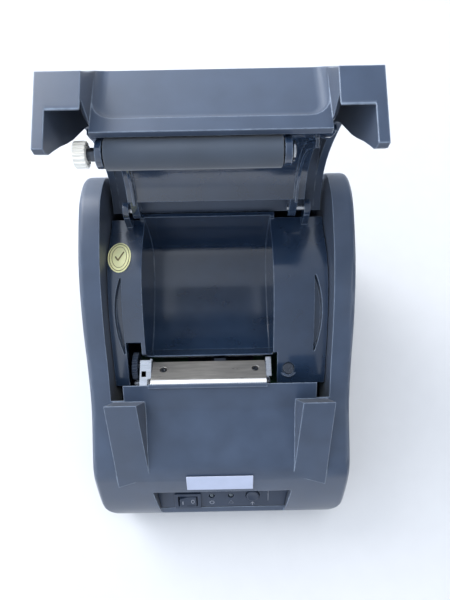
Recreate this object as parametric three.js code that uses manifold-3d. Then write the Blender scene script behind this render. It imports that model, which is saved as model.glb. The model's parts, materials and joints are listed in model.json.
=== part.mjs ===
// Desktop receipt printer for 58 mm thermal paper, lid open. Millimetres, +Z up, front towards -Y.
// Every piece is drawn with y = 0 at the front nose of the casing and z = 0 on the desk. The lid's
// pieces are drawn closed and turned open about the hinge by a group. The last group centres the box.
import * as THREE from 'three';
import { mergeVertices } from 'three/addons/utils/BufferGeometryUtils.js';
import Module from 'manifold-3d';

// ---------------------------------------------------------------- driving dimensions
const HALF_WIDTH = 64;            // outside of the casing, either side of the middle
const DEPTH = 169;                // nose to rear wall
const WALL = 2.4;                 // casing wall
const BAND_INNER = 53.5;          // inner face of each side band
const SEAM_Z = 14;                // casing and base tray meet here
const FOOT_HEIGHT = 2.5;
const FRONT_CORNER = 9;           // plan radius of the front corners
const REAR_CORNER = 7;
const BAND_ROUND = 3;             // rounded outer edge of the side bands
const TEAR_Y = 65.1;              // paper tear edge
const TEAR_Z = 79;
const TEAR_HALF = 47;             // half width of the tear band
const FIN_INNER = 38.3;           // fins and lid ears run from here
const FIN_OUTER = 52.2;           // to here
const LID_SCREWS = [[-20, 112], [20, 112]];
const TRAY_SCREW = [34.6, 73];
const BOARD_POSTS = [[-40, 52], [40, 52], [-40, 140], [40, 140]];
const HINGE_Y = 148.3;
const HINGE_Z = 98;
const LID_OPEN = 95;              // degrees the lid is turned back
const LID_WALL = 2.6;
const SKIRT_INNER = 48.7;         // inside of the lid's side skirts
const PAPER_LEFT = -34.6;         // platen rubber and print head span
const PAPER_RIGHT = 22.9;
const BUCKET_LEFT = -36.6;        // paper bucket between the cheeks
const BUCKET_RIGHT = 26.8;
const TRAY_WALL = 2;
const TRAY_HALF = 53.1;
const PLATEN = [75.8, 75.4];      // y, z of the platen axis with the lid closed
const PLATEN_RADIUS = 5.25;
const IDLER = [76.5, 63.8];
const MOTOR = [68.3, 56.8];
const HEAD_START = [66, 75.2];    // upper front edge of the print head's face
const HEAD_SLOPE = -36.6;         // degrees, falling towards the back
const PANEL_START = [3, 33.5];    // a point on the control panel's face
const PANEL_SLOPE = 38;
const PANEL_THICK = 2.2;
const GAP = 0.3;

// ---------------------------------------------------------------- helpers
const wasm = await Module();
wasm.setup();
const rad = THREE.MathUtils.degToRad;

function solid(geometry) {
  const plain = geometry.clone();
  plain.deleteAttribute('normal');
  plain.deleteAttribute('uv');
  const merged = mergeVertices(plain, 1e-4);
  const index = merged.index ? merged.index.array : merged.attributes.position.array.map((_, i) => i);
  return new wasm.Manifold(new wasm.Mesh({
    numProp: 3,
    vertProperties: new Float32Array(merged.attributes.position.array),
    triVerts: new Uint32Array(index),
  }));
}

function geometryOf(shape) {
  const mesh = shape.getMesh();
  const geometry = new THREE.BufferGeometry();
  geometry.setAttribute('position', new THREE.BufferAttribute(mesh.vertProperties, 3));
  geometry.setIndex(new THREE.BufferAttribute(mesh.triVerts, 1));
  geometry.computeVertexNormals();
  return geometry;
}

const join = (...shapes) => shapes.reduce((whole, next) => whole.add(next));
const cut = (whole, ...tools) => tools.reduce((rest, tool) => rest.subtract(tool), whole);

function shapeOf(points) {
  return new THREE.Shape(points.map(([a, b]) => new THREE.Vector2(a, b)));
}

function extrude(points, depth, round = 0, segments = 3) {
  return new THREE.ExtrudeGeometry(shapeOf(points), {
    depth: depth - 2 * round,
    bevelEnabled: round > 0,
    bevelThickness: round,
    bevelSize: round,
    bevelOffset: -round,
    bevelSegments: segments,
    curveSegments: 8,
  }).translate(0, 0, round);
}

// A (y, z) outline swept across the printer from x0 to x1.
function slab(points, x0, x1, round = 0, segments = 3) {
  const turn = new THREE.Matrix4().makeBasis(
    new THREE.Vector3(0, 1, 0), new THREE.Vector3(0, 0, 1), new THREE.Vector3(1, 0, 0));
  return solid(extrude(points, x1 - x0, round, segments).applyMatrix4(turn).translate(x0, 0, 0));
}

// An (x, y) outline swept up from z0 to z1.
function prism(points, z0, z1) {
  return solid(extrude(points, z1 - z0).translate(0, 0, z0));
}

function box(x0, x1, y0, y1, z0, z1) {
  const geometry = new THREE.BoxGeometry(x1 - x0, y1 - y0, z1 - z0);
  return solid(geometry.translate((x0 + x1) / 2, (y0 + y1) / 2, (z0 + z1) / 2));
}

// A round bar along X, centred on (y, z).
function barX(x0, x1, [y, z], radius, sides = 24) {
  const geometry = new THREE.CylinderGeometry(radius, radius, x1 - x0, sides);
  return solid(geometry.rotateZ(Math.PI / 2).translate((x0 + x1) / 2, y, z));
}

function barZ(x, y, z0, z1, radius, sides = 24, topRadius = radius) {
  const geometry = new THREE.CylinderGeometry(topRadius, radius, z1 - z0, sides);
  return solid(geometry.rotateX(Math.PI / 2).translate(x, y, (z0 + z1) / 2));
}

const spline = (points, steps) => new THREE.SplineCurve(
  points.map(([a, b]) => new THREE.Vector2(a, b))).getPoints(steps).map((p) => [p.x, p.y]);

// The same line moved sideways: a positive distance moves it to the right of its direction.
function offset(points, distance) {
  return points.map((point, i) => {
    const before = points[Math.max(i - 1, 0)];
    const after = points[Math.min(i + 1, points.length - 1)];
    const along = [after[0] - before[0], after[1] - before[1]];
    const length = Math.hypot(...along);
    return [point[0] + along[1] / length * distance, point[1] - along[0] / length * distance];
  });
}

const strip = (points, thickness) => [...points, ...offset(points, thickness).reverse()];

// A frame lying on a sloping face: local x is X, local y climbs the slope, local z leaves the face.
function onSlope([y, z], degrees) {
  const along = new THREE.Vector3(0, Math.cos(rad(degrees)), Math.sin(rad(degrees)));
  const across = new THREE.Vector3(1, 0, 0);
  const out = new THREE.Vector3().crossVectors(across, along);
  return new THREE.Matrix4().makeBasis(across, along, out).setPosition(0, y, z);
}

const headFace = onSlope(HEAD_START, HEAD_SLOPE);
const panelFace = onSlope(PANEL_START, PANEL_SLOPE);

// A block on a sloping face, between a pair of x, a pair of distances up it and a pair out of it.
function slopeBox(face, [x0, x1], [s0, s1], [n0, n1]) {
  const geometry = new THREE.BoxGeometry(x1 - x0, s1 - s0, n1 - n0);
  geometry.translate((x0 + x1) / 2, (s0 + s1) / 2, (n0 + n1) / 2);
  return solid(geometry.applyMatrix4(face));
}

function slopeDisc(face, x, s, [n0, n1], radius, sides = 24) {
  const geometry = new THREE.CylinderGeometry(radius, radius, n1 - n0, sides);
  geometry.rotateX(Math.PI / 2).translate(x, s, (n0 + n1) / 2);
  return solid(geometry.applyMatrix4(face));
}

const printer = new THREE.Group();
const lidTurn = new THREE.Group();
const lidPieces = new THREE.Group();
lidTurn.position.set(0, HINGE_Y, HINGE_Z);
lidTurn.rotation.x = -rad(LID_OPEN);
lidPieces.position.set(0, -HINGE_Y, -HINGE_Z);
lidTurn.add(lidPieces);
printer.add(lidTurn);

const finish = {
  shell: { color: 0x353c4c, roughness: 0.55, metalness: 0 },
  gloss: { color: 0x151d2e, roughness: 0.15, metalness: 0 },
  black: { color: 0x16181c, roughness: 0.5, metalness: 0 },
  rubber: { color: 0x3e444e, roughness: 0.85, metalness: 0 },
  steel: { color: 0xc8ccd0, roughness: 0.3, metalness: 1 },
  warmSteel: { color: 0x8f8a82, roughness: 0.45, metalness: 1 },
  ceramic: { color: 0xf4f5f8, roughness: 0.3, metalness: 0 },
  ivory: { color: 0xe9e4d2, roughness: 0.5, metalness: 0 },
  paper: { color: 0xd9dcea, roughness: 0.5, metalness: 0 },
  sticker: { color: 0xf0eda4, roughness: 0.4, metalness: 0 },
  board: { color: 0x1d5a38, roughness: 0.5, metalness: 0 },
  amber: { color: 0xb9772c, roughness: 0.5, metalness: 0 },
  lens: { color: 0x39424e, roughness: 0.2, metalness: 0 },
};

function piece(name, shape, look, parent = printer) {
  const mesh = new THREE.Mesh(geometryOf(shape), new THREE.MeshStandardMaterial(finish[look]));
  mesh.name = name;
  parent.add(mesh);
}

// ---------------------------------------------------------------- casing outline
const sideLine = spline([
  [5, -6], [2.4, 8], [0.4, 22], [0.3, 31], [6.3, 42.6], [18.4, 58.1], [23.5, 62.4], [29, 65],
  [45.5, 69.6], [53.7, 72.1], [62, 76.1], [74.7, 83.6], [88, 92.4], [101.5, 99.8], [112, 104.4], [123, 107.8],
  [141, 110.8], [151, 110.2], [161.1, 105.6], [166.3, 98], [168.5, 86], [DEPTH, 72], [DEPTH, 30],
  [DEPTH, -6],
], 68);

function roundedPlan(inset) {
  const right = HALF_WIDTH - inset;
  const corner = (cx, cy, radius, from) => Array.from({ length: 7 }, (_, i) => {
    const angle = rad(from + i * 15);
    return [cx + radius * Math.cos(angle), cy + radius * Math.sin(angle)];
  });
  const front = FRONT_CORNER - inset;
  const rear = REAR_CORNER - inset;
  return [
    ...corner(right - rear, DEPTH - inset - rear, rear, 0),
    ...corner(rear - right, DEPTH - inset - rear, rear, 90),
    ...corner(front - right, inset + front, front, 180),
    ...corner(right - front, inset + front, front, 270),
  ];
}

const outside = slab(sideLine, -HALF_WIDTH, HALF_WIDTH, BAND_ROUND)
  .intersect(prism(roundedPlan(0), FOOT_HEIGHT, 130));

function insideOf(wall) {
  const line = offset(sideLine, wall);
  line[0][1] = -8;
  line[line.length - 1][1] = -8;
  return slab(line, wall - HALF_WIDTH, HALF_WIDTH - wall).intersect(prism(roundedPlan(wall), -1, 130));
}

// ---------------------------------------------------------------- control panel frame
const RECESS_FRONT = -5;          // runs out through the nose
const RECESS_REAR = 13.2;
const RECESS_REAR_HALF = 35.3;
const RECESS_FRONT_HALF = 32;
const NOSE_WALL = 3.2;            // the panel's seat starts behind this much of the nose

function recess(grow, below) {
  const plan = [
    [-RECESS_FRONT_HALF - grow, RECESS_FRONT], [RECESS_FRONT_HALF + grow, RECESS_FRONT],
    [RECESS_REAR_HALF + grow, RECESS_REAR + grow], [-RECESS_REAR_HALF - grow, RECESS_REAR + grow],
  ];
  const above = slopeBox(panelFace, [-50, 50], [-30, 40], [-below, 60]);
  return prism(plan, 10, 70).intersect(above);
}

// ---------------------------------------------------------------- upper casing
const FIN_TOP = [55.1, 89.3];
const FIN_BASE = [57.9, 72.6];
const FIN_SLOPE = 40.2;           // slope of the fin's top in degrees
const FIN_REACH = 34;             // how far its top runs forward
const FIN_SKEW = 4.6;             // its outer edge runs this much further
const FIN_LIFT = 0.45;            // and ends this much higher, clear of the slope
const FIN_INNER_DRAFT = 0.09;
const FIN_OUTER_DRAFT = 0.045;

// A wedge on the front slope, wider at its foot, with a sloping top.
function fin(side) {
  const width = FIN_OUTER - FIN_INNER + 1;
  const fall = Math.tan(rad(FIN_SLOPE));
  const tip = [FIN_TOP[0] - FIN_REACH, FIN_TOP[1] - FIN_REACH * fall];
  const geometry = extrude([FIN_TOP, tip, [27, 50], [58.4, 69.5], FIN_BASE], width);
  const at = geometry.attributes.position;
  for (let i = 0; i < at.count; i += 1) {
    const outwards = side > 0 ? at.getZ(i) : width - at.getZ(i);
    const isOuter = outwards > width / 2;
    const isOuterTip = isOuter && at.getX(i) < tip[0] + 0.1;
    const y = at.getX(i) - (isOuterTip ? FIN_SKEW : 0);
    const z = at.getY(i) - (isOuterTip ? FIN_SKEW * fall - FIN_LIFT : 0);
    const draft = (isOuter ? FIN_OUTER_DRAFT : FIN_INNER_DRAFT) * (FIN_TOP[1] - z);
    at.setXYZ(i, side * (FIN_INNER + outwards - draft), y, z);
  }
  return solid(geometry);
}

const PORTS = {
  dc_jack: { x: [-44, -34], z: [19.5, 30.5] },
  usb_port: { x: [-8, 5], z: [19.5, 31] },
  drawer_port: { x: [24, 38], z: [19.5, 32] },
};
const PORT_LIP = 0.4;

function upperCasing() {
  const shell = outside.subtract(insideOf(WALL)).intersect(box(-90, 90, -20, 200, SEAM_Z + 0.2, 130));
  const opening = join(
    box(-BAND_INNER, BAND_INNER, TEAR_Y, 160, SEAM_Z + 10, 140),
    box(-BAND_INNER, BAND_INNER, 150, 180, 97, 140),
  );
  const lip = strip(sideLine, 24).filter(([, z]) => z > -20);
  const lips = [-1, 1].map((side) => {
    const x = side < 0 ? [-BAND_INNER - 2.1, -BAND_INNER] : [BAND_INNER, BAND_INNER + 2.1];
    return slab(lip, ...x).intersect(box(-90, 90, 50, 166, 50, 130)).intersect(outside);
  });
  const tearBand = slab([[52, 71.2], [53.7, 72], [TEAR_Y, TEAR_Z], [TEAR_Y, 76.4], [55, 69.4], [51, 69]],
    -TEAR_HALF, TEAR_HALF);
  const notches = [-1, 1].map((side) => {
    const edge = [side * TEAR_HALF, side * BAND_INNER].sort((a, b) => a - b);
    return box(...edge, 58.4, 70, 60, 90);
  });
  const boss = recess(2.2, PANEL_THICK + 0.6).intersect(outside);
  const ports = Object.values(PORTS).map(({ x, z }) => box(
    x[0] - PORT_LIP, x[1] + PORT_LIP, DEPTH - 6, DEPTH + 2, z[0] - PORT_LIP, z[1] + PORT_LIP));
  const body = join(cut(shell, opening), ...lips, tearBand, boss, fin(-1), fin(1));
  const seat = recess(0, PANEL_THICK + 8).intersect(box(-60, 60, NOSE_WALL, 60, 0, 90));
  return cut(body, ...notches, recess(0, 0), seat, ...ports);
}
piece('upper_casing', upperCasing(), 'shell');

// ---------------------------------------------------------------- tear bar
const TOOTH_PITCH = 1.15;
const TEETH = 50;
const TEAR_BAR_FRONT = 63.5;      // y of the bar's front edge

function tearBar() {
  const right = PAPER_LEFT + TEETH * TOOTH_PITCH;
  const plan = [[right, TEAR_BAR_FRONT], [PAPER_LEFT, TEAR_BAR_FRONT]];
  for (let i = 0; i < TEETH; i += 1) {
    const x = PAPER_LEFT + i * TOOTH_PITCH;
    plan.push([x, TEAR_Y], [x + TOOTH_PITCH / 2, TEAR_Y + 0.6]);
  }
  plan.push([right, TEAR_Y]);
  const above = slab([[60, 77.4], [67, 81.7], [67, 80.47], [60, 76.17]], -40, 40);
  return prism(plan, 70, 90).intersect(above);
}
piece('tear_bar', tearBar(), 'shell');

// ---------------------------------------------------------------- base tray and feet
const FOOT_X = 50;
const FOOT_Y = [20, 150];

function baseTray() {
  const body = outside.intersect(box(-90, 90, -20, 200, FOOT_HEIGHT, SEAM_Z - 0.2));
  const hollow = insideOf(WALL).intersect(box(-90, 90, -20, 200, FOOT_HEIGHT + WALL, SEAM_Z + 1));
  const posts = BOARD_POSTS.map(([x, y]) => barZ(x, y, 4, 18, 3));
  return join(body.subtract(hollow), ...posts);
}
piece('base_tray', baseTray(), 'black');

for (const [end, y] of [['front', FOOT_Y[0]], ['rear', FOOT_Y[1]]]) {
  for (const [hand, side] of [['left', -1], ['right', 1]]) {
    piece(`foot_${end}_${hand}`, barZ(side * FOOT_X, y, 0, FOOT_HEIGHT - 0.1, 5.2, 24, 6), 'rubber');
  }
}

// ---------------------------------------------------------------- inner tray: cheeks and paper bucket
const cheekLine = spline([
  [66.2, 66], [72, 70.3], [80, 75.6], [92, 83.6], [104, 90], [115, 93.8], [125, 94.6], [134, 92.6],
  [141, 90.6], [147, 90],
], 26);
const bucketLine = [
  [147, 92.5], ...spline([[146.6, 78], [143, 63], [131, 54.6], [111, 52], [96, 52.4], [86, 55.5]], 16),
  [81, 68.5],
];

const GRIP_DEPTH = 3.6;
const GRIP_WALL = 1.1;

// A crescent finger hollow in a cheek, grown sideways and downwards for the wall around it.
function crescent(side, grow) {
  const middle = 98;
  const half = 17 + grow;
  const bulge = 3;
  const straight = 47.3;
  const plan = Array.from({ length: 13 }, (_, i) => {
    const along = -1 + i / 6;
    return [side * (straight + grow + bulge * (1 - along * along)), middle + half * along];
  });
  const inner = side * (straight - 0.6 - grow);
  const above = slab([[64, 130], ...offset(cheekLine, GRIP_DEPTH + grow), [149, 130]], -TRAY_HALF, TRAY_HALF);
  return prism([...plan, [inner, middle + half], [inner, middle - half]], 60, 110).intersect(above);
}

function hingeBracket(side) {
  const [x0, x1] = [side * 42.4, side * 45.4].sort((a, b) => a - b);
  const post = slab([[142, 86], [149, 86], [149, HINGE_Z], [144, HINGE_Z]], x0, x1);
  return join(post, barX(x0, x1, [HINGE_Y, HINGE_Z], 4));
}

function innerTray() {
  const cheeks = slab(strip(cheekLine, TRAY_WALL), -TRAY_HALF, TRAY_HALF);
  const underCheek = slab([[64, 20], ...offset(cheekLine, 0.6), [149, 20]], -TRAY_HALF, TRAY_HALF);
  const bucket = slab([...offset(bucketLine, 0.6), ...offset(bucketLine, -TRAY_WALL).reverse()],
    BUCKET_LEFT - TRAY_WALL, BUCKET_RIGHT + TRAY_WALL);
  const sideOutline = [[147.5, 120], ...offset(bucketLine, -1), [80, 120]];
  const sides = [[BUCKET_LEFT - TRAY_WALL, BUCKET_LEFT + 0.4], [BUCKET_RIGHT - 0.4, BUCKET_RIGHT + TRAY_WALL]]
    .map(([x0, x1]) => slab(sideOutline, x0, x1).intersect(underCheek));
  const mechanism = join(
    box(-46, BUCKET_RIGHT + 2.1, 60, 80.6, 40, 90),
    box(-46, BUCKET_LEFT - TRAY_WALL, 60, 86, 40, 90),
    box(BUCKET_LEFT, BUCKET_RIGHT, 60, 81.6, 68.2, 90),
  );
  const screwHole = join(barZ(...TRAY_SCREW, 50, 80, 1.7, 16), barZ(...TRAY_SCREW, 69.4, 80, 3));
  const screwBoss = barZ(...TRAY_SCREW, 60, 69.6, 4.2);
  const pins = barX(-46, 46, [HINGE_Y, HINGE_Z], 1.8);
  const paperway = slab([[147, 120], ...bucketLine, [81, 120]], BUCKET_LEFT, BUCKET_RIGHT);
  const grips = [-1, 1].map((side) => crescent(side, GRIP_WALL).intersect(underCheek));
  const whole = join(cheeks, ...sides, bucket, screwBoss, ...grips, hingeBracket(-1), hingeBracket(1));
  return cut(whole, paperway, mechanism, crescent(-1, 0), crescent(1, 0), screwHole, pins);
}
piece('inner_tray', innerTray(), 'gloss');

function trayScrew([x, y]) {
  const bolt = join(barZ(x, y, 69.7, 71.6, 2.6), barZ(x, y, 58, 69.8, 1.3, 12));
  const slot = join(
    box(x - 1.4, x + 1.4, y - 0.3, y + 0.3, 70.9, 74),
    box(x - 0.3, x + 0.3, y - 1.4, y + 1.4, 70.9, 74),
  );
  return bolt.subtract(slot);
}
piece('tray_screw', trayScrew(TRAY_SCREW), 'steel');

piece('hinge_pin_left', barX(-45.9, -37.2, [HINGE_Y, HINGE_Z], 1.5, 16), 'steel');
piece('hinge_pin_right', barX(34.4, 45.9, [HINGE_Y, HINGE_Z], 1.5, 16), 'steel');

// ---------------------------------------------------------------- lid
const lidTop = spline([
  [55.7, 90], [62, 96.2], [68.5, 103.4], [76, 110], [86, 115.6], [98, 119.2], [112, 120.8],
  [125, 119.8], [138, 116.2], [150, 109.6], [157.4, 103],
], 30);
const skirtEdge = [
  [156, 100.8], [150, 106.4], ...spline([
    [142, 111.4], [134, 113.2], [122, 112.8], [110, 110.6], [103.5, 109], [99.5, 107.2], [94.3, 102.2],
    [87.9, 93.8], [81.3, 85.2], [72, 75.4], [65.5, 67.6],
  ], 18), [63.4, 66.2], [60.9, 66.2],
];
const SCOOP_FLOOR = 69.4;         // y of the scoop's face at its foot
const LIP_Y = 67.4;               // front of the lid's lip, over the tear edge
const SCOOP_FOOT = 81.8;
const SCOOP_LEAN = 5;             // degrees its face leans back from upright
const SCOOP_ROUND = 4;
const SCOOP_CORNER = 7;

// The hollow between the lid's ears, with round lower corners and a round edge at its face.
function scoop(grow) {
  const half = FIN_INNER + grow;
  const foot = SCOOP_FOOT - grow;
  const corner = (cx, from) => Array.from({ length: 6 }, (_, i) => {
    const angle = rad(from + i * 18);
    return [cx + SCOOP_CORNER * Math.cos(angle), foot + SCOOP_CORNER * (1 + Math.sin(angle))];
  });
  const outline = [[-half, 140], ...corner(SCOOP_CORNER - half, 180), ...corner(half - SCOOP_CORNER, 270),
    [half, 140]];
  const geometry = extrude(outline, 40, SCOOP_ROUND, 4);
  geometry.rotateX(Math.PI / 2).translate(0, SCOOP_FLOOR + grow, 0);
  geometry.translate(0, -SCOOP_FLOOR, -SCOOP_FOOT).rotateX(-rad(SCOOP_LEAN));
  return solid(geometry.translate(0, SCOOP_FLOOR, SCOOP_FOOT));
}

function lidCover() {
  const outer = slab([...lidTop, ...skirtEdge], -FIN_OUTER, FIN_OUTER);
  const inner = slab([[58.4, 40], [58.4, 89], ...offset(lidTop, LID_WALL).slice(2), [160, 96], [160, 40]],
    -SKIRT_INNER, SKIRT_INNER);
  const hollow = cut(outer, inner);
  const scoopWall = scoop(LID_WALL).intersect(outer);
  const lipBar = box(-FIN_INNER, FIN_INNER, LIP_Y, 69.9, 77.2, 83);
  const front = box(-FIN_INNER, FIN_INNER, 30, LIP_Y, 40, 100);
  const cover = slab([[40, 50], [40, 68.4], [53.7, 72.7], [TEAR_Y, 80], [67.2, 81], [67.2, 50]],
    -TEAR_HALF - 1, TEAR_HALF + 1);
  const screwHoles = LID_SCREWS.map(([x, y]) => barZ(x, y, 100, 115.5, 1.2, 12));
  return cut(join(hollow, scoopWall, lipBar), scoop(0), front, cover, ...screwHoles);
}
piece('lid_cover', lidCover(), 'shell', lidPieces);

// ---------------------------------------------------------------- lid inner frame
const guideLine = spline([
  [74.4, 84.6], [80, 86.8], [88, 92.4], [98, 99.4], [110, 104], [122, 104.6], [132, 101.6], [139, 97.6],
], 20);
const POSTS = { left: [-37.4, -35.2], right: [23.4, 25.8] };
const ARMS = [[-40.6, -36.8], [34.8, 38.4]];
const ARM_RIBS = [[-38.4, -37.1], [36.4, 37.7]];
const RIB_HEIGHT = 3.4;

function lidFrame() {
  const guide = slab(strip(guideLine, 2), -41.4, 41.4);
  const ribLine = guideLine.slice(4);
  const ribs = ARM_RIBS.map(([x0, x1]) => slab(
    [...offset(ribLine, 1), ...offset(ribLine, 2 + RIB_HEIGHT).reverse()], x0, x1));
  const posts = Object.values(POSTS).map(([x0, x1]) => join(
    slab([[73.4, 83.2], [77, 86.4], [81, 87.4], [80.4, PLATEN[1]], [71.8, PLATEN[1]]], x0, x1),
    barX(x0, x1, PLATEN, 4.6)));
  const bores = barX(-42, 42, PLATEN, 2.3);
  const arms = ARMS.map(([x0, x1]) => {
    const arm = slab([[128, 102.5], [136, 102.4], [149, 102], [151, 96], [146, 94.4], [138, 96.4]], x0, x1);
    return join(arm, barX(x0, x1, [HINGE_Y, HINGE_Z], 4));
  });
  const screwPosts = LID_SCREWS.map(([x, y]) => barZ(x, y, 103, 114, 3, 16));
  const screwHoles = LID_SCREWS.map(([x, y]) => barZ(x, y, 90, 120, 1.3, 12));
  const pins = barX(-46, 46, [HINGE_Y, HINGE_Z], 1.8);
  return cut(join(guide, ...ribs, ...posts, ...arms, ...screwPosts), bores, pins, ...screwHoles);
}
piece('lid_inner_frame', lidFrame(), 'gloss', lidPieces);

// ---------------------------------------------------------------- platen roller
function gear([y, z], x0, x1, teeth, tip, root, bore) {
  const outline = [];
  for (let i = 0; i < teeth * 4; i += 1) {
    const angle = (i + (i % 2 ? 0.2 : -0.2)) * Math.PI / (teeth * 2);
    const radius = i % 4 < 2 ? tip : root;
    outline.push([y + radius * Math.cos(angle), z + radius * Math.sin(angle)]);
  }
  return slab(outline, x0, x1).subtract(barX(x0 - 1, x1 + 1, [y, z], bore, 16));
}

const SHAFT = 1.9;
piece('platen_shaft', join(
  barX(-45.2, 27.4, PLATEN, SHAFT, 20),
  barX(-39.6, -37.8, PLATEN, 2.2, 20),
), 'steel', lidPieces);
piece('platen_rubber', cut(
  barX(PAPER_LEFT, PAPER_RIGHT, PLATEN, PLATEN_RADIUS, 40), barX(-50, 50, PLATEN, SHAFT + GAP, 20),
), 'rubber', lidPieces);
piece('platen_gear', gear(PLATEN, -44.6, -40.6, 18, 4.4, 3.7, SHAFT + 0.1), 'ivory', lidPieces);
piece('platen_clip', cut(
  barX(26.3, 27, PLATEN, 3.3, 20), barX(26, 28, PLATEN, SHAFT + 0.15, 20), box(26, 28, 75, 76.6, 70, 75.4),
), 'steel', lidPieces);
for (const [i, [x, y]] of LID_SCREWS.entries()) {
  const screw = join(barZ(x, y, 100, 101.6, 2.4, 16), barZ(x, y, 101.4, 114.8, 1, 12));
  piece(`lid_screw_${['left', 'right'][i]}`, screw, 'steel', lidPieces);
}

// ---------------------------------------------------------------- print mechanism
const PLATE_LEFT = [-36.3, -35.1];
const PLATE_RIGHT = [23.8, 25];

function mechanismFrame() {
  const side = [[64.6, 46], [64.6, 72], [66.6, 73.2], [68.8, 71.6], [70, 65], [80, 65], [80, 46]];
  const plates = [PLATE_LEFT, PLATE_RIGHT].map(([x0, x1]) => slab(side, x0, x1));
  const floor = box(PLATE_LEFT[0], PLATE_RIGHT[1], 60.4, 80, 44.8, 46);
  const flange = box(PLATE_RIGHT[1] - 0.1, 26.6, 70, 80, 64, 65);
  const bracket = cut(box(-41, PLATE_LEFT[1], 64.8, 79, 66.6, 67.6), box(-40, -37.8, 70.4, 73.2, 60, 70));
  const shaftHole = barX(-40, -30, MOTOR, 2.4, 16);
  return cut(join(...plates, floor, flange, bracket), shaftHole);
}
piece('mechanism_frame', mechanismFrame(), 'steel');

// The head's face falls backwards, so distances along it are measured down the slope.
const HEAD_X = [-34.4, 23.2];
const HEAD_LENGTH = 15;
const CERAMIC_LENGTH = 2.6;
const HEAD_SCREWS = { left: -28.6, right: 18 };
const HEAD_SCREW_AT = 9.6;        // down the slope

function headPlate() {
  const plate = slopeBox(headFace, HEAD_X, [CERAMIC_LENGTH + GAP, HEAD_LENGTH], [-2.4, 0]);
  const under = slopeBox(headFace, HEAD_X, [0.4, CERAMIC_LENGTH + 0.4], [-2.4, -1.1]);
  const holes = Object.values(HEAD_SCREWS)
    .map((x) => slopeDisc(headFace, x, HEAD_SCREW_AT, [-3, 1], 1.8, 20));
  return cut(join(plate, under), ...holes);
}
piece('print_head_plate', headPlate(), 'warmSteel');
piece('print_head_ceramic', slopeBox(headFace, HEAD_X, [0, CERAMIC_LENGTH], [-0.8, 0]), 'ceramic');
for (const [hand, x] of Object.entries(HEAD_SCREWS)) {
  const screw = slopeDisc(headFace, x, HEAD_SCREW_AT, [-3.2, -0.3], 1.3, 16);
  const socket = slopeDisc(headFace, x, HEAD_SCREW_AT, [-0.9, 0.2], 0.6, 6);
  piece(`head_screw_${hand}`, cut(screw, socket), 'steel');
}

const SPRING_TURNS = 5;
function spring(x) {
  class Helix extends THREE.Curve {
    getPoint(t, target = new THREE.Vector3()) {
      const angle = t * SPRING_TURNS * Math.PI * 2;
      return target.set(x + 2 * Math.cos(angle), 71.2 + 2 * Math.sin(angle), 46.9 + 18.6 * t);
    }
  }
  const wire = Array.from({ length: 6 }, (_, i) => rad(i * 60))
    .map((angle) => [0.35 * Math.cos(angle), 0.35 * Math.sin(angle)]);
  return solid(new THREE.ExtrudeGeometry(shapeOf(wire), {
    steps: SPRING_TURNS * 12, extrudePath: new Helix(), bevelEnabled: false,
  }));
}
piece('head_spring_left', spring(-10), 'steel');
piece('head_spring_right', spring(12), 'steel');

piece('idler_gear', gear(IDLER, -44.6, -41.8, 30, 7.1, 6.3, 1.4), 'black');
piece('idler_axle', barX(-45.6, -36.6, IDLER, 1.1, 16), 'steel');
piece('motor_pinion', join(
  gear(MOTOR, -44.6, -41.4, 14, 3.3, 2.6, 0.7), barX(-45.4, -34.6, MOTOR, 1, 16),
), 'steel');
piece('stepper_motor', join(
  barX(-34, -18, MOTOR, 9.6, 32),
  slab([[58.2, 50.8], [78.4, 50.8], [78.4, 53], [58.2, 53]], -34, -33.2),
), 'warmSteel');
piece('paper_sensor', box(-3, 3, 78.6, 80.2, 56, 61), 'black');

// ---------------------------------------------------------------- electronics
piece('main_board', cut(box(-50, 50, 30, 163, 18.3, 19.2),
  ...BOARD_POSTS.map(([x, y]) => barZ(x, y, 17, 20, 1.6, 12))), 'board');
piece('board_chips', join(box(-20, 20, 60, 100, 19.5, 20.2), box(-8, 8, 70, 86, 20, 21.8),
  box(-16, -11, 92, 98, 20, 28)), 'black');

function port(name, depth, hole) {
  const { x, z } = PORTS[name];
  const body = box(x[0], x[1], DEPTH - 1 - depth, DEPTH - 0.6, z[0], z[1]);
  piece(name, cut(body, hole), 'black');
}
const dcCentre = [(PORTS.dc_jack.x[0] + PORTS.dc_jack.x[1]) / 2, 25];
const yHole = new THREE.CylinderGeometry(3.1, 3.1, 12, 24).translate(dcCentre[0], DEPTH - 5, dcCentre[1]);
port('dc_jack', 13, cut(solid(yHole), solid(
  new THREE.CylinderGeometry(0.9, 0.9, 13, 12).translate(dcCentre[0], DEPTH - 6, dcCentre[1]))));
port('usb_port', 15, cut(
  box(-6, 3, DEPTH - 11, DEPTH + 2, 21, 29.6), box(-4.4, 1.4, DEPTH - 12, DEPTH - 2, 23.6, 27)));
port('drawer_port', 14, box(25.6, 36.4, DEPTH - 12, DEPTH + 2, 21.4, 29.8));
piece('head_ribbon', slab(strip(spline([
  [69.4, 69.2], [67, 66], [61.4, 60], [56.6, 48], [57, 36], [62, 26], [68, 20.6]], 20), 0.4), 6, 22), 'amber');

// ---------------------------------------------------------------- control panel
const CONTROL_T = 8;              // distance of the lamps and button up the panel's slope
const ROCKER_X = -18.6;
const ROCKER_T = 5.4;
const ROCKER_TILT = 9;            // degrees each way, resting with its right side pressed
const LED_X = { power_led: -5.8, error_led: 4.5 };
const FEED_X = 16.1;

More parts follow.
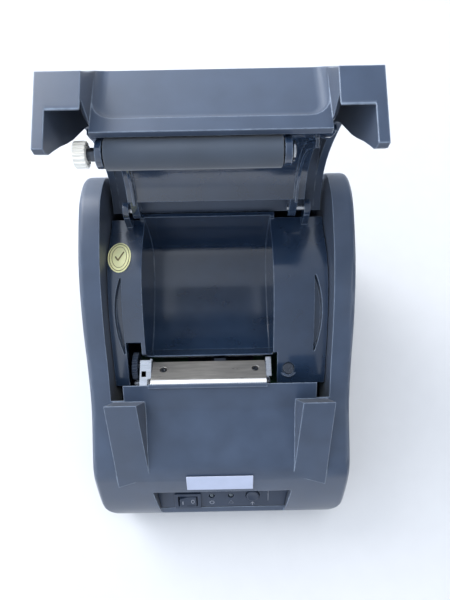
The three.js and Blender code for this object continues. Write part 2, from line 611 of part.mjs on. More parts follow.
function controlPanel() {
  const lower = slopeBox(panelFace, [-60, 60], [-30, 40], [-60, -0.02]);
  const plate = recess(-GAP, PANEL_THICK).intersect(lower)
    .intersect(box(-60, 60, NOSE_WALL + GAP, 60, 0, 90));
  const holes = Object.values(LED_X).map((x) => slopeDisc(panelFace, x, CONTROL_T, [-4, 1], 1.6, 20));
  return cut(plate, ...holes, slopeDisc(panelFace, FEED_X, CONTROL_T, [-4, 1], 3.8, 28),
    slopeBox(panelFace, [ROCKER_X - 6.3, ROCKER_X + 6.3], [ROCKER_T - 4.3, ROCKER_T + 4.3], [-4, 1]));
}
piece('control_panel', controlPanel(), 'black');

function rockerHousing() {
  const flange = slopeBox(panelFace, [ROCKER_X - 7, ROCKER_X + 7], [ROCKER_T - 5, ROCKER_T + 5], [0.2, 1]);
  const body = slopeBox(panelFace, [ROCKER_X - 6, ROCKER_X + 6], [ROCKER_T - 4, ROCKER_T + 4], [-10, 0.5]);
  const mouth = slopeBox(
    panelFace, [ROCKER_X - 5.2, ROCKER_X + 5.2], [ROCKER_T - 3.4, ROCKER_T + 3.4], [-8, 2]);
  return cut(join(flange, body), mouth);
}
piece('rocker_housing', rockerHousing(), 'black');

// The rocker tips sideways about an axis that climbs the panel.
function rocker() {
  const outline = [[-4.4, -1.4], [4.4, -1.4], [4.4, 1.5], [0, 0.7], [-4.4, 1.5]];
  const geometry = extrude(outline, 6);
  geometry.rotateX(Math.PI / 2).rotateY(rad(ROCKER_TILT)).translate(ROCKER_X, ROCKER_T + 3, 0.4);
  return solid(geometry.applyMatrix4(panelFace));
}
piece('power_rocker', rocker(), 'black');

for (const [name, x] of Object.entries(LED_X)) {
  piece(name, slopeDisc(panelFace, x, CONTROL_T, [-6, -0.4], 1.2, 16), 'lens');
}
piece('feed_button', join(
  slopeDisc(panelFace, FEED_X, CONTROL_T, [-1.2, 0.9], 3.4, 32),
  slopeDisc(panelFace, FEED_X, CONTROL_T, [-5.2, -1], 1.6, 16),
), 'black');
piece('panel_board', slopeBox(panelFace, [-10, 24], [3.6, 12.6], [-10.4, -9.4]), 'board');
piece('feed_switch', join(
  slopeBox(panelFace, [FEED_X - 3, FEED_X + 3], [CONTROL_T - 3, CONTROL_T + 3], [-9.1, -6.9]),
  slopeDisc(panelFace, FEED_X, CONTROL_T, [-7, -6.3], 1.5, 16)), 'black');

// ---------------------------------------------------------------- label and sticker
const LABEL_Y = [14.6, 21.6];
const LABEL_THICK = 0.5;
piece('label_plate', slab([...offset(sideLine, -GAP), ...offset(sideLine, -GAP - LABEL_THICK).reverse()],
  -17.6, 15.6).intersect(box(-30, 30, ...LABEL_Y, 40, 70)), 'paper');

const STICKER = [-47.4, 125.4];
function sticker() {
  const outline = Array.from({ length: 28 }, (_, i) => {
    const angle = i * Math.PI / 14;
    return [STICKER[0] + 5.6 * Math.cos(angle), STICKER[1] + 7.9 * Math.sin(angle)];
  });
  const skin = [...offset(cheekLine, -GAP), ...offset(cheekLine, -GAP - 0.3).reverse()];
  return prism(outline, 80, 110).intersect(slab(skin, -60, -30));
}
piece('check_sticker', sticker(), 'sticker');

// The origin lies under the middle of the whole box, lid open.
printer.updateMatrixWorld(true);
const whole = new THREE.Box3().setFromObject(printer, true);
printer.position.y = -(whole.min.y + whole.max.y) / 2;

export default printer;
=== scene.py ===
import json
import math

import bmesh
import bpy
from mathutils import Euler, Matrix, Vector
from mathutils.bvhtree import BVHTree

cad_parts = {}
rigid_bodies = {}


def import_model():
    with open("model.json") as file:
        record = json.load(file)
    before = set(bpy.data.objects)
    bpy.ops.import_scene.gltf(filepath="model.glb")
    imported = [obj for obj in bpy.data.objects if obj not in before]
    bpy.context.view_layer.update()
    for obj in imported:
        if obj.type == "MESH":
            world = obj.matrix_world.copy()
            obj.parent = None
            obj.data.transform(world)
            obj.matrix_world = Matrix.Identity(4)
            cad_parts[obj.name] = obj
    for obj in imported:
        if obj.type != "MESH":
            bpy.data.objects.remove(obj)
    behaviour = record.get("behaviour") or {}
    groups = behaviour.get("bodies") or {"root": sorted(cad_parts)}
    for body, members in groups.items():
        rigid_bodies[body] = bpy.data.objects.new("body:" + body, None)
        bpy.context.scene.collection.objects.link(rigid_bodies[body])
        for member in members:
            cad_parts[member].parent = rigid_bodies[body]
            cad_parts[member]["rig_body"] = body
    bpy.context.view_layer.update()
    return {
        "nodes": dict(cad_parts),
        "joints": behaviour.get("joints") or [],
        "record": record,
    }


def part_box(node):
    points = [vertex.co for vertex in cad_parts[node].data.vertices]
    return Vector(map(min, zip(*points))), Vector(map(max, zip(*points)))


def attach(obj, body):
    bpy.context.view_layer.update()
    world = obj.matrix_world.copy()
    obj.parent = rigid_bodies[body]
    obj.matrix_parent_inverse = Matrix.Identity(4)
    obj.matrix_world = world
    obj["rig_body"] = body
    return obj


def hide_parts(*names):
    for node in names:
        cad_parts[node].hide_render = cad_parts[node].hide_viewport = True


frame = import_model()

# Looks of a desktop receipt printer with its lid turned back. Metres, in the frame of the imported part.
# Lengths written in millimetres are measured from the casing's nose (y) and the desk (z).
MM = 0.001
HINGE_AT = (0, 148.3, 98)         # the lid's hinge, in those millimetres
HINGE = next(j for j in frame["joints"] if j["name"] == "lid_hinge")["pos_m"]
NOSE_Y = HINGE[1] - HINGE_AT[1] * MM
LID_OPEN = math.radians(95)
PANEL_START = (3.0, 33.5)         # a point on the control panel's face
PANEL_SLOPE = math.radians(38)
CONTROLS_UP = 8                   # lamps and button, this far up the panel's slope
LAMPS = {"power_led": -5.8, "error_led": 4.5}
BUTTON_X = 16.1
ROCKER_AT = (-18.6, 5.4)
STICKER_AT = (-47.4, 125.4)
LID_SCREWS = {"lid_screw_left": (-20, 112, 100), "lid_screw_right": (20, 112, 100)}


def at(x, y, z):
    """A point in the frame from millimetres right of the middle, behind the nose and above the desk."""
    return Vector((x * MM, NOSE_Y + y * MM, z * MM))


def slope_face(start, slope):
    """Matrix of a sloping face: local x is X, local y climbs it, local z leaves it, in millimetres."""
    turn = Euler((slope, 0, 0)).to_matrix().to_4x4()
    return Matrix.Translation(at(0, *start)) @ turn @ Matrix.Scale(MM, 4)


def under_lid(x, y, z):
    """Matrix of a spot on the lid's underside, given where it is with the lid closed; z leaves the lid."""
    hinge = at(*HINGE_AT)
    opened = Matrix.Translation(hinge) @ Matrix.Rotation(-LID_OPEN, 4, "X")
    facing = Matrix.Rotation(math.pi, 4, "X") @ Matrix.Scale(MM, 4)
    return opened @ Matrix.Translation(at(x, y, z) - hinge) @ facing


PANEL = slope_face(PANEL_START, PANEL_SLOPE)


# ------------------------------------------------------------------ materials
def shade(name):
    """A new node material and helpers that add and link its nodes."""
    material = bpy.data.materials.new(name)
    material.use_nodes = True
    nodes = material.node_tree.nodes
    links = material.node_tree.links
    return material, nodes, links, nodes["Principled BSDF"]


def noise(nodes, links, where, scale, detail=4.0):
    """A noise pattern with values round 0.5."""
    node = nodes.new("ShaderNodeTexNoise")
    node.inputs["Scale"].default_value = scale
    node.inputs["Detail"].default_value = detail
    links.new(where, node.inputs["Vector"])
    return node.outputs["Fac"]


def spread(nodes, links, value, low, high, start=0.3, end=0.7):
    """Maps a 0..1 value to low..high between start and end."""
    node = nodes.new("ShaderNodeMapRange")
    node.inputs["From Min"].default_value = start
    node.inputs["From Max"].default_value = end
    node.inputs["To Min"].default_value = low
    node.inputs["To Max"].default_value = high
    links.new(value, node.inputs["Value"])
    return node.outputs["Result"]


def blend_colour(nodes, links, amount, first, second):
    """Two colours, given as tuples or as sockets, mixed by an amount from 0 to 1."""
    node = nodes.new("ShaderNodeMix")
    node.data_type = "RGBA"
    links.new(amount, node.inputs[0])
    for socket, colour in ((node.inputs[6], first), (node.inputs[7], second)):
        if isinstance(colour, tuple):
            socket.default_value = (*colour, 1)
        else:
            links.new(colour, socket)
    return node.outputs[2]


EDGE_LEAN = 0.05                  # a normal leaning this much counts as a full edge


def edge_mask(nodes, links, radius):
    """0 on flat faces and 1 on edges, from how far the rounded normal leans from the real one."""
    rounded = nodes.new("ShaderNodeBevel")
    rounded.samples = 6
    rounded.inputs["Radius"].default_value = radius
    plain = nodes.new("ShaderNodeNewGeometry")
    dot = nodes.new("ShaderNodeVectorMath")
    dot.operation = "DOT_PRODUCT"
    links.new(rounded.outputs["Normal"], dot.inputs[0])
    links.new(plain.outputs["Normal"], dot.inputs[1])
    mask = spread(nodes, links, dot.outputs["Value"], 1.0, 0.0, 1.0 - EDGE_LEAN, 1.0)
    return mask, rounded.outputs["Normal"]


def mapped_place(nodes, links, stretch):
    """The object's own coordinates, stretched along its axes."""
    place = nodes.new("ShaderNodeTexCoord")
    mapping = nodes.new("ShaderNodeMapping")
    mapping.inputs["Scale"].default_value = stretch
    links.new(place.outputs["Object"], mapping.inputs["Vector"])
    return mapping.outputs["Vector"]


def product(nodes, links, first, second):
    node = nodes.new("ShaderNodeMath")
    node.operation = "MULTIPLY"
    links.new(first, node.inputs[0])
    links.new(second, node.inputs[1])
    return node.outputs[0]


def grained(nodes, links, where, grain, below):
    """A normal roughened by fine grain, given as (scale, height), over the normal below it."""
    scale, height = grain
    bump = nodes.new("ShaderNodeBump")
    bump.inputs["Strength"].default_value = 1.0
    bump.inputs["Distance"].default_value = height
    links.new(noise(nodes, links, where, scale, 2), bump.inputs["Height"])
    links.new(below, bump.inputs["Normal"])
    return bump.outputs["Normal"]


MOTTLE_SCALE = 90                 # sizes of the noise patterns: larger is finer
WEAR_AND_HIGHLIGHT_SCALE = 400
SMUDGE_SCALE = 45


def surface(name, base, wear_and_highlight_colour, rough, *, grain=(9000, 0.00002), tint=0.12, edge=0.0005, metal=0.0,
            coat=0.0, coat_rough=0.1, sheen=0.0, specular=0.5, ior=1.5, anisotropy=0.0, stretch=(1, 1, 1),
            wear_and_highlight=0.5, smudge=0.08):
    """A procedural surface: mottled colour, fine grain, rounded edges painted lighter (partly wear, partly
    painted highlight) and uneven roughness.
    """
    material, nodes, links, shader = shade(name)
    where = mapped_place(nodes, links, stretch)
    dark = tuple(c * (1 - tint) for c in base)
    light = tuple(min(c * (1 + tint), 1) for c in base)
    mottled = spread(nodes, links, noise(nodes, links, where, MOTTLE_SCALE), 0, 1)
    colour = blend_colour(nodes, links, mottled, dark, light)
    mask, rounded = edge_mask(nodes, links, edge)
    # Edges are painted lighter: partly wear, partly a painted highlight standing in for gloss catching the
    # edges.
    patches = spread(nodes, links, noise(nodes, links, where, WEAR_AND_HIGHLIGHT_SCALE), wear_and_highlight * 0.4, wear_and_highlight)
    wear_and_highlight_edges = product(nodes, links, mask, patches)
    links.new(blend_colour(nodes, links, wear_and_highlight_edges, colour, wear_and_highlight_colour), shader.inputs["Base Color"])
    smudged = noise(nodes, links, where, SMUDGE_SCALE, 6)
    links.new(spread(nodes, links, smudged, rough - smudge, rough + smudge), shader.inputs["Roughness"])
    links.new(grained(nodes, links, where, grain, rounded), shader.inputs["Normal"])
    shader.inputs["Metallic"].default_value = metal
    shader.inputs["Specular IOR Level"].default_value = specular
    shader.inputs["IOR"].default_value = ior
    shader.inputs["Coat Weight"].default_value = coat
    shader.inputs["Coat Roughness"].default_value = coat_rough
    shader.inputs["Sheen Weight"].default_value = sheen
    shader.inputs["Sheen Roughness"].default_value = 0.5
    shader.inputs["Anisotropic"].default_value = anisotropy
    return material


# Each look's second colour paints its edges lighter, partly as wear and partly as painted highlight; the
# casing's and the tray's are tuned as painted highlights along their edges.
LOOKS = {
    "casing_plastic": surface("casing_plastic", (0.033, 0.052, 0.092), (0.30, 0.37, 0.48), 0.38,
                              grain=(4200, 0.00003), edge=0.0006, sheen=0.1, specular=0.65, wear_and_highlight=0.85),
    "tray_plastic": surface("tray_plastic", (0.016, 0.032, 0.066), (0.20, 0.27, 0.38), 0.2,
                            grain=(900, 0.000004), edge=0.0006, coat=1.0, coat_rough=0.1, specular=0.7,
                            smudge=0.05, wear_and_highlight=0.7),
    "black_plastic": surface("black_plastic", (0.026, 0.038, 0.066), (0.12, 0.15, 0.2), 0.38,
                             grain=(3500, 0.00002), edge=0.0003),
    "rubber": surface("rubber", (0.036, 0.050, 0.074), (0.14, 0.17, 0.22), 0.62,
                      grain=(5200, 0.00006), tint=0.10, edge=0.0003, sheen=0.4),
    "foot_rubber": surface("foot_rubber", (0.02, 0.02, 0.022), (0.05, 0.05, 0.055), 0.8, sheen=0.3),
    "steel": surface("steel", (0.62, 0.63, 0.65), (0.85, 0.86, 0.88), 0.26, grain=(1500, 0.000006),
                     metal=1.0, anisotropy=0.4, stretch=(1, 9, 9), edge=0.0002),
    "dark_steel": surface("dark_steel", (0.09, 0.10, 0.12), (0.35, 0.37, 0.4), 0.3,
                          grain=(1500, 0.000006), metal=0.9, edge=0.0002),
    "head_metal": surface("head_metal", (0.52, 0.50, 0.47), (0.75, 0.73, 0.7), 0.34,
                          grain=(1400, 0.00001), metal=0.75, stretch=(1, 8, 8), edge=0.0003, tint=0.14),
    "motor_metal": surface("motor_metal", (0.4, 0.4, 0.42), (0.6, 0.6, 0.62), 0.35, metal=1.0),
    "ceramic": surface("ceramic", (0.97, 0.98, 1.0), (1.0, 1.0, 1.0), 0.22, coat=0.6, tint=0.02),
    "gear_plastic": surface("gear_plastic", (0.90, 0.89, 0.84), (0.95, 0.94, 0.9), 0.42, tint=0.04,
                            edge=0.0003, sheen=0.1),
    "label": surface("label", (0.42, 0.47, 0.62), (0.86, 0.88, 0.95), 0.34, tint=0.05, coat=0.4,
                     edge=0.0003, grain=(2500, 0.000004)),
    "sticker": surface("sticker", (0.98, 0.96, 0.52), (0.95, 0.94, 0.7), 0.38, tint=0.06, coat=0.3,
                       edge=0.0002, grain=(2500, 0.000004)),
    "board": surface("board", (0.015, 0.10, 0.045), (0.05, 0.2, 0.1), 0.35, coat=0.3),
    "ribbon": surface("ribbon", (0.36, 0.17, 0.04), (0.5, 0.3, 0.1), 0.3, coat=0.2),
    "lens": surface("lens", (0.05, 0.07, 0.09), (0.2, 0.25, 0.3), 0.12, coat=0.8, coat_rough=0.03),
}
INK_BROWN = surface("sticker_ink", (0.26, 0.20, 0.07), (0.3, 0.24, 0.1), 0.45, tint=0.2)
INK_PALE = surface("panel_ink", (0.34, 0.38, 0.46), (0.5, 0.52, 0.58), 0.5, tint=0.15)


# ------------------------------------------------------------------ pieces
def body_name(node):
    return frame["nodes"][node]["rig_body"]


SLOT_OF = {part["node"]: part["material_slot"] for part in frame["record"]["subparts"]}


def add_piece(name, mesh, slot, body="root", material=None, replaced=()):
    """Puts a finished mesh in the scene as one named piece that moves with its body."""
    piece = bpy.data.objects.new(name, mesh)
    bpy.context.scene.collection.objects.link(piece)
    mesh.materials.append(material or LOOKS[slot])
    for face in mesh.polygons:
        face.use_smooth = True
    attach(piece, body)
    if replaced:
        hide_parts(*replaced)
    return piece


def soften(piece, width):
    """Real rounded edges on a piece, with shading that stays flat on its flat faces."""
    bevel = piece.modifiers.new("edges", "BEVEL")
    bevel.width = width
    bevel.segments = 2
    bevel.limit_method = "ANGLE"
    bevel.angle_limit = math.radians(30)
    bevel.use_clamp_overlap = False
    bevel.miter_outer = "MITER_ARC"
    flat = piece.modifiers.new("flat_faces", "WEIGHTED_NORMAL")
    flat.weight = 80
    flat.keep_sharp = True


SAME_POINT = 0.004 * MM
NO_LENGTH = 0.001 * MM
SHORT_EDGE = 0.15 * MM            # edges shorter than this would break a rounded edge beside them
NEARLY_FLAT = math.radians(0.05)


def clean_copy(node):
    """The node's shape as a bmesh with shared corners and its flat faces merged."""
    shape = bmesh.new()
    shape.from_mesh(frame["nodes"][node].data)
    bmesh.ops.remove_doubles(shape, verts=shape.verts, dist=SAME_POINT)
    bmesh.ops.dissolve_degenerate(shape, edges=shape.edges, dist=SAME_POINT)
    bmesh.ops.dissolve_limit(shape, angle_limit=NEARLY_FLAT, verts=shape.verts, edges=shape.edges)
    bmesh.ops.remove_doubles(shape, verts=shape.verts, dist=SHORT_EDGE)
    bmesh.ops.dissolve_degenerate(shape, edges=shape.edges, dist=NO_LENGTH)
    return shape


def finished(shape, name):
    """The bmesh as a named mesh; the bmesh is freed."""
    mesh = bpy.data.meshes.new(name)
    shape.to_mesh(mesh)
    shape.free()
    return mesh


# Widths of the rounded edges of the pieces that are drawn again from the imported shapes.
REFINED = {
    "upper_casing": 0.12, "lid_cover": 0.12, "inner_tray": 0.15, "lid_inner_frame": 0.15,
    "control_panel": 0.12, "mechanism_frame": 0.06, "print_head_plate": 0.15,
    "print_head_ceramic": 0.1, "power_rocker": 0.25, "platen_rubber": 0.3, "platen_shaft": 0.12,
    "rocker_housing": 0.15, "tear_bar": 0.08, "label_plate": 0.12, "base_tray": 0.3,
    "stepper_motor": 0.3, "usb_port": 0.25, "dc_jack": 0.25, "drawer_port": 0.25,
}
for end in ("front", "rear"):
    for hand in ("left", "right"):
        REFINED[f"foot_{end}_{hand}"] = 0.3


def refine_nodes():
    """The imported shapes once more, with rounded edges."""
    for node, width in REFINED.items():
        mesh = finished(clean_copy(node), f"{node}_shape")
        piece = add_piece(f"{node}_skin", mesh, SLOT_OF[node], body_name(node), replaced=[node])
        soften(piece, width * MM)


def dress_kept_nodes():
    """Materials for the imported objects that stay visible."""
    for name, node in frame["nodes"].items():
        if node.hide_render:
            continue
        node.data.materials.clear()
        node.data.materials.append(LOOKS[SLOT_OF[name]])


def turned(name, profile, place, sides=48):
    """A turned mesh: (radius, height) points in millimetres spun about the local z of a matrix."""
    shape = bmesh.new()
    rings = []
    for radius, height in profile:
        count = sides if radius > 0 else 1
        turns = [2 * math.pi * i / count for i in range(count)]
        points = [Vector((radius * math.cos(t), radius * math.sin(t), height)) for t in turns]
        rings.append([shape.verts.new(place @ point) for point in points])
    for low, high in zip(rings, rings[1:]):
        for i in range(sides):
            j = i + 1
            corners = [low[i % len(low)], low[j % len(low)], high[j % len(high)], high[i % len(high)]]
            shape.faces.new(list(dict.fromkeys(corners)))
    bmesh.ops.recalc_face_normals(shape, faces=shape.faces)
    return finished(shape, name)


def on_panel_at(x, up):
    """Matrix of a spot on the control panel, up its slope, in millimetres."""
    return PANEL @ Matrix.Translation((x, up, 0))


# Outlines of (radius, height out of the panel), from the back to the front.
LAMP_PROFILE = [(0, -6), (1.2, -6), (1.2, -0.8), (1.12, -0.55), (0.9, -0.3), (0.55, -0.14), (0, -0.08)]
BUTTON_PROFILE = [(0, -5.2), (1.6, -5.2), (1.6, -1.2), (3.4, -1.2), (3.4, 0.45), (3.3, 0.72), (3.05, 0.88),
                  (2.75, 0.88), (2.3, 0.78), (1.3, 0.62), (0, 0.56)]


def panel_pieces():
    """Domed lamps and a dished feed button."""
    for node, x in LAMPS.items():
        mesh = turned(f"{node}_lens", LAMP_PROFILE, on_panel_at(x, CONTROLS_UP))
        add_piece(f"{node}_lens", mesh, "lens", replaced=[node])
    mesh = turned("feed_button_cap", BUTTON_PROFILE, on_panel_at(BUTTON_X, CONTROLS_UP))
    body = body_name("feed_button")
    cap = add_piece("feed_button_cap", mesh, "black_plastic", body, replaced=["feed_button"])
    cap.data.set_sharp_from_angle(angle=math.radians(40))


# Outline of a screw head, for a radius and a height of 1.
DOME = [(1, 0), (1, 0.45), (0.93, 0.75), (0.75, 0.94), (0.4, 1), (0, 1)]


def cross_screw(node, axis_place, radius, height):
    """A low dome on the head of a plain screw, with a black cross of painted shade standing in for its
    shaded recess.
    """
    dome = [(radius * across, height * up) for across, up in DOME]
    mesh = turned(f"{node}_head", dome, axis_place, 40)
    head = add_piece(f"{node}_head", mesh, SLOT_OF[node], body_name(node))
    head.data.set_sharp_from_angle(angle=math.radians(50))
    # The cross is a thin black block on top of the dome: painted shade where the real cross is a shaded
    # recess.
    shape = bmesh.new()
    for turn in (0, math.pi / 2):
        block = bmesh.ops.create_cube(shape, size=1)["verts"]
        bmesh.ops.scale(shape, vec=(radius * 1.1, radius * 0.24, height * 0.06), verts=block)
        bmesh.ops.rotate(shape, matrix=Matrix.Rotation(turn, 3, "Z"), verts=block)
        bmesh.ops.translate(shape, vec=(0, 0, height * 1.005), verts=block)
    bmesh.ops.transform(shape, matrix=axis_place, verts=shape.verts)
    add_piece(f"{node}_slot", finished(shape, f"{node}_slot"), "black_plastic", body_name(node))


TOOTH_STEPS = 10
TOOTH_FLATNESS = 1.6              # above 1, the wave is cut off flat at the tips and the roots
RIM = 0.6
HUB = 0.7
CHAMFER = 0.15


def spur_gear(node, teeth, tip, root, bore):
    """A gear with rounded teeth, a hub and a thinner web, in the node's own place."""
    low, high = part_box(node)
    middle = (low + high) / 2
    half = (high.x - low.x) / 2 / MM
    web = half * 0.6
    steps = teeth * TOOTH_STEPS
    shape = bmesh.new()

    def ring(radius_of, x):
        points = []
        for i in range(steps):
            turn = 2 * math.pi * i / steps
            radius = radius_of(turn)
            point = Vector((x, radius * math.cos(turn), radius * math.sin(turn)))
            points.append(shape.verts.new(middle + point * MM))
        return points

    def tooth(shrink):
        def radius_of(turn):
            wave = math.cos(turn * teeth) * TOOTH_FLATNESS
            return root + (tip - shrink - root) * (max(-1, min(1, wave)) + 1) / 2
        return radius_of

    def round_at(radius):
        return lambda turn: radius

    rim = root - RIM
    hub = bore + HUB
    section = [(tooth(0), half - CHAMFER), (tooth(0.2), half), (round_at(rim), half),
               (round_at(rim - CHAMFER), web), (round_at(hub + CHAMFER), web), (round_at(hub), half),
               (round_at(bore), half)]
    rings = [ring(radius, x) for radius, x in section]
    rings += [ring(radius, -x) for radius, x in reversed(section)]
    for first, second in zip(rings, rings[1:] + rings[:1]):
        for i in range(steps):
            j = (i + 1) % steps
            shape.faces.new((first[i], first[j], second[j], second[i]))
    bmesh.ops.recalc_face_normals(shape, faces=shape.faces)
    mesh = finished(shape, f"{node}_teeth")
    piece = add_piece(f"{node}_teeth", mesh, SLOT_OF[node], body_name(node), replaced=[node])
    piece.data.set_sharp_from_angle(angle=math.radians(35))


# ------------------------------------------------------------------ fine surface detail
LINE_CLEAR = 0.02                 # how far a printed line floats off its face
LINE_PROFILE = ((-1, 0), (-0.8, 1), (0.8, 1), (1, 0))


def ribbon_mesh(name, path, width, height, place_of, closed=False):
    """A thin raised line along a path on a face, placed by place_of(x, y) -> (point, normal)."""
    shape = bmesh.new()
    rings = []
    count = len(path)
    for i, (x, y) in enumerate(path):
        before = path[(i - 1) % count] if closed else path[max(i - 1, 0)]
        after = path[(i + 1) % count] if closed else path[min(i + 1, count - 1)]
        along = Vector((after[0] - before[0], after[1] - before[1])).normalized()
        side = Vector((-along.y, along.x)) * width / 2
        ring = []
        for sign, lift in LINE_PROFILE:
            point, normal = place_of(x + side.x * sign, y + side.y * sign)
            ring.append(shape.verts.new(point + normal * (lift * height + LINE_CLEAR) * MM))
        rings.append(ring)
    pairs = list(zip(rings, rings[1:]))
    if closed:
        pairs.append((rings[-1], rings[0]))
    for first, second in pairs:
        for j in range(3):
            shape.faces.new((first[j], first[j + 1], second[j + 1], second[j]))
        shape.faces.new((first[3], first[0], second[0], second[3]))
    if not closed:
        shape.faces.new(rings[0])
        shape.faces.new(rings[-1][::-1])
    bmesh.ops.recalc_face_normals(shape, faces=shape.faces)
    return finished(shape, name)


def on_panel(x, up):
    """A point and the normal on the control panel's face."""
    normal = PANEL.to_3x3().col[2].normalized()
    return PANEL @ Vector((x, up, 0)), normal


def cast_onto(node, direction, start_of):
    """Places points onto a node, looking along a direction from start_of(x, y)."""
    source = frame["nodes"][node].data
    corners = [vertex.co for vertex in source.vertices]
    tree = BVHTree.FromPolygons(corners, [tuple(face.vertices) for face in source.polygons])

    def place(x, y):
        hit, normal, _, _ = tree.ray_cast(start_of(x, y), direction)
        return hit, (normal if normal.dot(direction) < 0 else -normal)
    return place


def ellipse(cx, cy, rx, ry, count=40, start=0.0, sweep=360.0):
    """Points on an ellipse or a part of one, by degrees; a full one doesn't repeat its first point."""
    last = count if sweep == 360 else count + 1
    turns = [math.radians(start + sweep * i / count) for i in range(last)]
    return [(cx + rx * math.cos(t), cy + ry * math.sin(t)) for t in turns]


def subdivided(path, parts):
    """The same open path with extra points, so that it follows a curved face."""
    points = [path[0]]
    for (x0, y0), (x1, y1) in zip(path, path[1:]):
        points += [(x0 + (x1 - x0) * k / parts, y0 + (y1 - y0) * k / parts) for k in range(1, parts + 1)]
    return points


def high_above(x, y):
    return at(x, y, 180)


def off_panel(x, up):
    return PANEL @ Vector((x, up, 10))


def sticker_print():
    """Two thin rings and a tick printed on the check sticker."""
    place = cast_onto("check_sticker", Vector((0, 0, -1)), high_above)
    x, y = STICKER_AT
    lines = {
        "sticker_ring_outer": (ellipse(x, y, 4.8, 7.0), True, 0.35),
        "sticker_ring_inner": (ellipse(x, y, 3.5, 5.5), True, 0.25),
        "sticker_tick": ([(x - 1.9, y + 0.2), (x - 0.5, y - 1.9), (x + 2.1, y + 2.6)], False, 0.7),
    }
    for name, (path, closed, width) in lines.items():
        fine = path if closed else subdivided(path, 6)
        add_piece(name, ribbon_mesh(name, fine, width, 0.05, place, closed), "sticker", material=INK_BROWN)


def panel_print():
    """Plain signs beside the lamps and the button: power, warning triangle and feed arrow."""
    power = LAMPS["power_led"]
    error = LAMPS["error_led"]
    feed = BUTTON_X
    lines = {
        "sign_power_ring": (ellipse(power, 3.6, 1.1, 1.1, 24, 120, 300), False),
        "sign_power_bar": ([(power, 3.8), (power, 5.0)], False),
        "sign_warning": ([(error - 1.3, 2.7), (error + 1.3, 2.7), (error, 4.9)], True),
        "sign_feed_stem": ([(feed, 1.0), (feed, 3.0)], False),
        "sign_feed_arrow": ([(feed - 1, 2.2), (feed, 3.3), (feed + 1, 2.2)], False),
        "panel_end_line": ([(24.4, 4.0), (24.4, 11.0)], False),
    }
    for name, (path, closed) in lines.items():
        add_piece(name, ribbon_mesh(name, path, 0.32, 0.02, on_panel, closed), "label", material=INK_PALE)


def rocker_print():
    """The bar and ring marks on the two halves of the rocker."""
    inwards = -PANEL.to_3x3().col[2].normalized()
    place = cast_onto("power_rocker", inwards, off_panel)
    x, up = ROCKER_AT
    body = body_name("power_rocker")
    bar = ribbon_mesh("rocker_bar_mark", [(x - 2.6, up - 1.1), (x - 2.6, up + 1.1)], 0.4, 0.02, place)
    add_piece("rocker_bar_mark", bar, "label", body, INK_PALE)
    ring = ribbon_mesh("rocker_ring_mark", ellipse(x + 2.6, up, 0.8, 1.1, 24), 0.35, 0.02, place, True)
    add_piece("rocker_ring_mark", ring, "label", body, INK_PALE)


refine_nodes()
panel_pieces()
for screw, spot in LID_SCREWS.items():
    cross_screw(screw, under_lid(*spot), radius=2.4, height=0.5)
spur_gear("platen_gear", teeth=18, tip=4.4, root=3.7, bore=2.0)
spur_gear("idler_gear", teeth=30, tip=7.1, root=6.3, bore=1.4)
dress_kept_nodes()
sticker_print()
panel_print()
rocker_print()


# ------------------------------------------------------------------ floor, light and camera
FLOOR_HALF = 3                    # metres


def build_floor():
    """A plain pale floor."""
    shape = bmesh.new()
    bmesh.ops.create_grid(shape, x_segments=1, y_segments=1, size=FLOOR_HALF)
    floor = bpy.data.objects.new("floor", finished(shape, "floor"))
    bpy.context.scene.collection.objects.link(floor)
    floor.data.materials.append(surface("floor", (0.60, 0.61, 0.63), (0.8, 0.8, 0.8), 0.6, tint=0.01,
                                        grain=(300, 0.00002)))


def area_light(name, place, size, power, colour, mirrored=True):
    """A round soft light aimed at the printer; mirrored says whether glossy faces show it."""
    light = bpy.data.lights.new(name, "AREA")
    light.shape = "DISK"
    light.size = size
    light.energy = power
    light.color = colour
    lamp = bpy.data.objects.new(name, light)
    lamp.location = place
    lamp.rotation_mode = "QUATERNION"
    lamp.rotation_quaternion = (Vector((0, 0, 0.05)) - Vector(place)).to_track_quat("-Z", "Y")
    lamp.visible_glossy = mirrored
    bpy.context.scene.collection.objects.link(lamp)


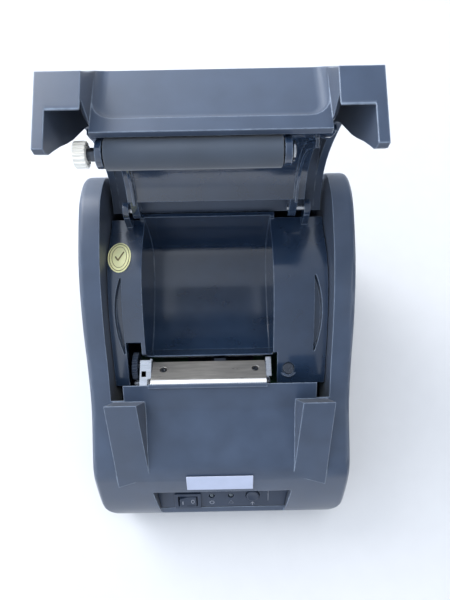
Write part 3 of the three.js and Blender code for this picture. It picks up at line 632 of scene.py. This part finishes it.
def build_world():
    """Soft room light: pale, brightest on the left and behind, with a darker front and right."""
    world = bpy.data.worlds.new("studio")
    bpy.context.scene.world = world
    world.use_nodes = True
    nodes = world.node_tree.nodes
    links = world.node_tree.links
    place = nodes.new("ShaderNodeTexCoord")
    split = nodes.new("ShaderNodeSeparateXYZ")
    links.new(place.outputs["Generated"], split.inputs[0])
    height = nodes.new("ShaderNodeValToRGB")
    ramp = height.color_ramp
    ramp.elements[0].position = 0.1
    ramp.elements[0].color = (0.86, 0.92, 1.0, 1)
    ramp.elements[1].position = 1.0
    ramp.elements[1].color = (0.46, 0.52, 0.62, 1)
    links.new(split.outputs["Z"], height.inputs["Fac"])
    across = spread(nodes, links, split.outputs["X"], 2.6, 0.5, -0.6, 0.35)
    behind = spread(nodes, links, split.outputs["Y"], 0.7, 1.4, -0.8, 0.8)
    background = nodes["Background"]
    links.new(height.outputs["Color"], background.inputs["Color"])
    links.new(product(nodes, links, across, behind), background.inputs["Strength"])


CAMERA_AT = at(3.3, 46.3, 306)
CAMERA_TILT = 15.0                # degrees from looking straight down
CAMERA_ROLL = -1.1
LENS = 27.84                      # millimetres, on a sensor 36 wide
SENSOR = 36


def build_camera():
    """A camera above the printer, looking down and a little towards its back."""
    camera = bpy.data.cameras.new("camera")
    camera.lens = LENS
    camera.sensor_width = SENSOR
    camera.clip_start = 0.01
    camera.clip_end = 20
    holder = bpy.data.objects.new("camera", camera)
    holder.location = CAMERA_AT
    tilt = Matrix.Rotation(math.radians(CAMERA_TILT), 3, "X")
    roll = Matrix.Rotation(math.radians(CAMERA_ROLL), 3, "Z")
    holder.rotation_euler = (tilt @ roll).to_euler()
    bpy.context.scene.collection.objects.link(holder)
    bpy.context.scene.camera = holder


build_floor()
build_world()
area_light("key", (-0.75, 0.75, 1.0), 0.7, 11, (1.0, 0.985, 0.96))
area_light("fill", (0.9, -0.6, 0.9), 0.8, 3, (0.9, 0.95, 1.0))
area_light("top", (0.1, 0.2, 1.3), 0.7, 8, (1.0, 0.98, 0.95), mirrored=False)
build_camera()
bpy.context.scene.view_settings.view_transform = "Standard"
